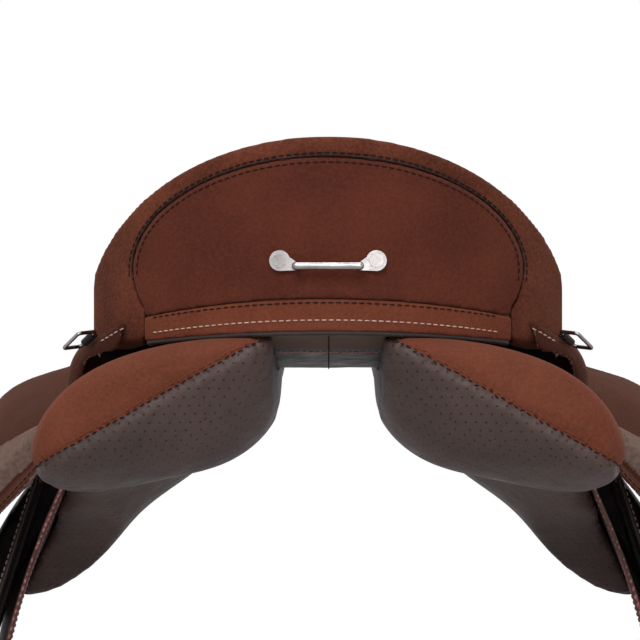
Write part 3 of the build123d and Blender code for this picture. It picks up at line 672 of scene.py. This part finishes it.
class SADDLE_OT_seat(bpy.types.Operator):
    """Seat: stuffed leather over foam, webbing and tree, and the facing of the pommel"""

    bl_idname = "saddle.seat"
    bl_label = "Seat"

    def execute(self, context):
        look = context.scene.saddle_look
        seat = dressed("seat_skin", ["seat_cover", "seat_foam"], "saddle", look.skin_size, 6)
        puffed(seat, 0.004, lambda p: p.z < -0.03 or p.y < 0.04)
        finer(seat)
        seat_tree = surface(seat)
        middle = [(0, y / 1000, 0.4) for y in range(60, 472, 6)]
        line = cast(seat_tree, middle, (0, 0, -1))
        grooved(seat, [point for point, _ in line], 0.0022, 0.007)
        for side in SIDES.values():
            welt = [(side * (0.05 + 0.05 * math.sin((y - 60) / 400 * math.pi)), y / 1000, 0.4) for y in range(60, 465, 5)]
            edge = cast(seat_tree, welt, (0, 0, -1))
            grooved(seat, [point for point, _ in edge], 0.0016, 0.005, 0.3)
        shaded(seat, MATERIALS["seat"])
        line = cast(surface(seat), middle, (0, 0, -1))
        stitches("seat_stitches", line, MATERIALS["dark_thread"], "saddle", look.stitch)
        painted("tree", MATERIALS["plastic"])
        painted("seat_webbing", MATERIALS["webbing"])
        facing = dressed("facing_skin", ["pommel_facing"], "saddle", 0.0016)
        shaded(facing, MATERIALS["dark"])
        return {"FINISHED"}


class SADDLE_OT_panels(bpy.types.Operator):
    """Panels: stuffed cushions with a suede gusset, a puckered seam and a perforated underside"""

    bl_idname = "saddle.panels"
    bl_label = "Panels"

    def execute(self, context):
        look = context.scene.saddle_look
        for name, side in SIDES.items():
            panel = dressed(
                f"panel_skin_{name}", [f"panel_face_{name}", f"panel_gusset_{name}"], "saddle", look.skin_size, 6
            )
            for vertex in panel.data.vertices:
                inside = WALL_X - abs(vertex.co.x)
                if inside > 0 and vertex.co.y < 0.36:
                    vertex.co.x = side * (WALL_X - inside * 0.2)
            near_seam = lambda p: p.y < 0.24 and abs(p.z - seam_z(p.x)) < look.skin_size * 0.8
            covered = lambda p: p.z > seam_z(p.x) + 0.03 or p.y > 0.2 or abs(p.x) < 0.047
            puffed(panel, look.puff, lambda p: near_seam(p) or covered(p))
            finer(panel)
            tree = surface(panel)
            rear = [(side * x / 1000, -0.3, seam_z(x / 1000)) for x in range(47, 216, 2)]
            line = cast(tree, rear, (0, 1, 0))
            beside = []
            for y in range(4, 236, 3):
                z = SEAM_OUTER[1]
                hit = cast(tree, [(side * 0.4, y / 1000, z)], (-side, 0, 0))
                for _ in range(3):
                    if hit:
                        hit = cast(tree, [(side * 0.4, y / 1000, seam_z(hit[0][0].x))], (-side, 0, 0))
                beside += hit
            last = line[-1][0] if line else None
            beside = [pair for pair in beside if last is None or pair[0].y > last.y + 0.002]
            line += beside
            path = [point for point, _ in line]
            grooved(panel, path, 0.0026, 0.009, 0.35, 0.0062)
            for vertex, normal in zip(panel.data.vertices, normals_of(panel)):
                above = vertex.co.z - seam_z(vertex.co.x)
                if vertex.co.y < 0.16 and -0.045 < above < -0.002:
                    fold = math.sin(vertex.co.x * 420 + vertex.co.y * 130) * math.sin(vertex.co.z * 160)
                    vertex.co += normal * 0.0007 * fold * (1 + above / 0.05)
            shaded(panel, MATERIALS["perforated"], MATERIALS["gusset"])
            for face in panel.data.polygons:
                middle = face.center
                face.material_index = int(middle.y < 0.24 and middle.z > seam_z(middle.x))
            line = seam_line(panel, line)
            stitches(f"panel_stitches_{name}", line, MATERIALS["dark_thread"], "saddle", 0.0038, 0.0024)
            upper = [(point + Vector((0, 0, 0.0035)), normal) for point, normal in line]
            path = [point - normal * 0.0003 for point, normal in seam_line(panel, upper)]
            tube(f"panel_welt_{name}", spread(path, 200), 0.0010, MATERIALS["gusset"], "saddle", 8)
        return {"FINISHED"}


def seam_line(obj, line):
    """The line's points put back on the object's surface, with its normals."""
    tree = surface(obj)
    found = []
    for point, _ in line:
        near, normal, _, _ = tree.find_nearest(point)
        outwards = normal if normal.dot(Vector((near.x * 0.3, -1, -0.2))) > 0 or near.y > 0.03 else -normal
        found.append((near, outwards))
    return found


class SADDLE_OT_channel(bpy.types.Operator):
    """Lining of the gullet channel with its seams"""

    bl_idname = "saddle.channel"
    bl_label = "Channel"

    def execute(self, context):
        lining = dressed("lining_skin", ["channel_lining"], "saddle", 0.0016, 2)
        rippled(lining, 0.03, 0.0014, 7)
        shaded(lining, MATERIALS["lining"], MATERIALS["dark"])
        for face in lining.data.polygons:
            face.material_index = int(face.center.z < -0.0225 and face.center.y < 0.3)
        tree = surface(lining)
        cross = cast(tree, [(x / 1000, y, -0.3) for x in range(-40, 41, 2) for y in (0.092,)], (0, 0, 1))
        stitches("lining_stitches", cross, MATERIALS["pink_thread"], "saddle", 0.0036, 0.0014, 0.0006)
        along = cast(tree, [(0.0006, y / 1000, -0.3) for y in range(4, 440, 4)], (0, 0, 1))
        stitches("lining_middle_stitches", along, MATERIALS["dark_thread"], "saddle", 0.004, 0.002)
        return {"FINISHED"}


class SADDLE_OT_skirts(bpy.types.Operator):
    """Skirts: the small flaps beside the seat, with stitched edges"""

    bl_idname = "saddle.skirts"
    bl_label = "Skirts"

    def execute(self, context):
        look = context.scene.saddle_look
        for name, side in SIDES.items():
            skirt = dressed(f"skirt_skin_{name}", [f"skirt_{name}"], "saddle", 0.002)
            rippled(skirt, 0.06, 0.0012, 11)
            edged(skirt, 0.0045)
            shaded(skirt, MATERIALS["flap"])
            tree = surface(skirt)
            rear = [(side * x / 1000, -0.3, (-4 - (x - 150) * 0.55) / 1000) for x in range(151, 176, 1)]
            line = cast(tree, rear, (0, 1, 0))
            if len(line) > 3:
                stitches(f"skirt_tip_stitches_{name}", line, MATERIALS["pale_thread"], "saddle", 0.0034, 0.0022, 0.00055)
            edge = [(side * (0.2, 0.205, 0.208, 0.211, 0.214)[i], (0.14, 0.2, 0.27, 0.34, 0.41)[i], 0.3) for i in range(5)]
            path = curve_through([(x - side * 0.006, y, z) for x, y, z in edge], 120)
            line = cast(tree, path, (0, 0, -1))
            if len(line) > 3:
                stitches(f"skirt_edge_stitches_{name}", line, MATERIALS["dark_thread"], "saddle", look.stitch)
        return {"FINISHED"}


class SADDLE_OT_flaps(bpy.types.Operator):
    """Outer flaps with their thigh rolls, nailed tops, raw edges and edge stitching"""

    bl_idname = "saddle.flaps"
    bl_label = "Flaps"

    def execute(self, context):
        look = context.scene.saddle_look
        for name, side in SIDES.items():
            body = f"flap_{name}"
            flap = dressed(f"flap_skin_{name}", [f"flap_{name}", f"thigh_block_{name}"], body, look.sheet_size)
            rippled(flap, 0.09, 0.003, 13)
            edged(flap, 0.0045)
            shaded(flap, MATERIALS["flap"])
            tree = surface(flap)
            middle = Vector((0.32, -0.22))
            inset = []
            for y, z in FLAP_OUTLINE:
                point = Vector((y / 1000, z / 1000))
                point += (middle - point).normalized() * 0.009
                inset.append((side * 0.6, point.x, point.y))
            line = cast(tree, curve_through(inset, 500), (-side, 0, 0))
            stitches(f"flap_stitches_{name}", line, MATERIALS["dark_thread"], body, look.stitch)
            top = dressed(f"flap_top_skin_{name}", [f"flap_top_{name}"], "saddle", 0.002)
            shaded(top, MATERIALS["flap"])
        return {"FINISHED"}


class SADDLE_OT_sweat_flaps(bpy.types.Operator):
    """Inner flaps with their pink raw edges, and the knee blocks on them"""

    bl_idname = "saddle.sweat_flaps"
    bl_label = "Sweat flaps"

    def execute(self, context):
        look = context.scene.saddle_look
        for name, side in SIDES.items():
            flap = dressed(f"sweat_flap_skin_{name}", [f"sweat_flap_{name}"], "saddle", look.sheet_size)
            rippled(flap, 0.08, 0.003, 17)
            edged(flap, 0.004)
            shaded(flap, MATERIALS["sweat"])
            tree = surface(flap)
            middle = Vector((0.34, -0.25))
            inset = []
            for y, z in SWEAT_OUTLINE:
                point = Vector((y / 1000, z / 1000))
                point += (middle - point).normalized() * 0.008
                inset.append((0, point.x, point.y))
            line = cast(tree, curve_through(inset, 460), (side, 0, 0))
            stitches(f"sweat_stitches_{name}", line, MATERIALS["pink_thread"], "saddle", look.stitch)
            block = dressed(f"knee_skin_{name}", [f"knee_block_{name}"], "saddle", 0.004)
            puffed(block, 0.003, lambda p: False)
            finer(block)
            shaded(block, MATERIALS["dark"])
        return {"FINISHED"}


class SADDLE_OT_fittings(bpy.types.Operator):
    """Crupper bar, rings, stirrup bars, gullet plate and girth straps"""

    bl_idname = "saddle.fittings"
    bl_label = "Fittings"

    def execute(self, context):
        look = context.scene.saddle_look
        for node in ("crupper_bar", "crupper_screws"):
            painted(node, MATERIALS["chrome"])
        for node in ("gullet_plate", "gullet_rivets"):
            painted(node, MATERIALS["steel"])
        for name, side in SIDES.items():
            for node in ("rear_dee", "front_dee"):
                painted(f"{node}_{name}", MATERIALS["chrome"])
            for node in ("stirrup_bar", "bar_rivets", "bar_catch", "catch_pin"):
                painted(f"{node}_{name}", MATERIALS["steel"])
            for node in ("rear_chape", "front_chape"):
                loop = dressed(f"{node}_skin_{name}", [f"{node}_{name}"], "saddle", 0.0006, 3)
                shaded(loop, MATERIALS["dark"])
            webbing = dressed(f"webbing_skin_{name}", [f"girth_webbing_{name}"], "saddle", 0.0007, 1)
            shaded(webbing, MATERIALS["webbing"])
            for where, middle in (("rear", 0.268), ("front", 0.322)):
                body = f"girth_strap_{where}_{name}"
                strap = dressed(f"strap_skin_{where}_{name}", [body], body, 0.001, 3)
                shaded(strap, MATERIALS["dark"])
                tree = surface(strap)
                for edge in (-1, 1):
                    starts = [(side * 0.6, middle + edge * 0.0095, z / 1000) for z in range(-135, -358, -3)]
                    line = cast(tree, starts, (-side, 0, 0))
                    label = f"strap_stitches_{where}_{name}_{'head' if edge > 0 else 'tail'}"
                    stitches(label, line, MATERIALS["pale_thread"], body, look.stitch)
        return {"FINISHED"}


class SADDLE_PT_panel(bpy.types.Panel):
    """Builds the saddle's pieces one by one"""

    bl_idname = "SADDLE_PT_panel"
    bl_label = "Endurance Saddle"
    bl_space_type = "VIEW_3D"
    bl_region_type = "UI"
    bl_category = "Saddle"

    def draw(self, context):
        look = context.scene.saddle_look
        for name in ("skin_size", "sheet_size", "puff", "stitch", "ambient", "camera_distance"):
            self.layout.prop(look, name)
        for operator in OPERATORS:
            self.layout.operator(operator.bl_idname)


OPERATORS = (
    SADDLE_OT_stage,
    SADDLE_OT_cantle,
    SADDLE_OT_seat,
    SADDLE_OT_panels,
    SADDLE_OT_channel,
    SADDLE_OT_skirts,
    SADDLE_OT_flaps,
    SADDLE_OT_sweat_flaps,
    SADDLE_OT_fittings,
)
FRAME = {}
MATERIALS = {}


def make_materials():
    """The finishes that the pieces share."""
    pink = colour(196, 112, 116)
    MATERIALS.update(
        rim=suede("rim_suede", colour(112, 64, 48), colour(70, 36, 28), colour(120, 80, 66)),
        cantle=suede("cantle_suede", colour(98, 53, 41), colour(74, 38, 30), colour(120, 80, 66)),
        strip=suede("strip_suede", colour(116, 66, 49), colour(96, 50, 38), colour(120, 80, 66)),
        gusset=suede("gusset_suede", colour(118, 68, 53), colour(94, 52, 39), colour(120, 80, 66)),
        flap=suede("flap_suede", colour(76, 44, 34), colour(54, 30, 23), colour(118, 100, 92)),
        seat=leather("seat_leather_skin", colour(74, 40, 30), colour(48, 26, 20), colour(90, 60, 50), 0.48),
        dark=leather("dark_leather_skin", colour(46, 34, 31), colour(30, 21, 19), colour(70, 52, 45), 0.5),
        sweat=leather("sweat_leather_skin", colour(92, 66, 58), colour(66, 47, 42), pink, 0.6, 500, 0.35),
        perforated=perforated("perforated_skin", colour(78, 60, 56), colour(58, 44, 41), (0.75, 0.6, 0.75, 1.0)),
        lining=woven("lining_weave", colour(104, 82, 72), colour(74, 57, 50)),
        webbing=woven("webbing_weave", colour(110, 92, 74), colour(70, 58, 46), 0.002),
        dark_thread=woven("dark_thread_twist", colour(44, 26, 22), colour(24, 15, 13), 0.0006),
        pale_thread=woven("pale_thread_twist", colour(226, 196, 182), colour(176, 140, 128), 0.0006),
        pink_thread=woven("pink_thread_twist", colour(196, 128, 120), colour(150, 92, 86), 0.0006),
        chrome=metal("bar_chrome", (0.36, 0.33, 0.33, 1.0), 0.14),
        steel=metal("plain_steel", (0.45, 0.44, 0.43, 1.0), 0.32),
        plywood=solid("board_ply", colour(176, 140, 96), colour(140, 104, 66), 0.6, 60),
        plastic=solid("tree_moulding", colour(40, 40, 40), colour(24, 24, 24), 0.45, 200),
    )


def register():
    for cls in (SaddleLook, *OPERATORS, SADDLE_PT_panel):
        bpy.utils.register_class(cls)
    bpy.types.Scene.saddle_look = bpy.props.PointerProperty(type=SaddleLook)


def unregister():
    del bpy.types.Scene.saddle_look
    for cls in reversed((SaddleLook, *OPERATORS, SADDLE_PT_panel)):
        bpy.utils.unregister_class(cls)


def main():
    register()
    FRAME.update(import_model())
    make_materials()
    for step in ("stage", "cantle", "seat", "panels", "channel", "skirts", "flaps", "sweat_flaps", "fittings"):
        if getattr(bpy.ops.saddle, step)() != {"FINISHED"}:
            raise RuntimeError(f"{step} didn't finish")


if __name__ == "__main__":
    main()
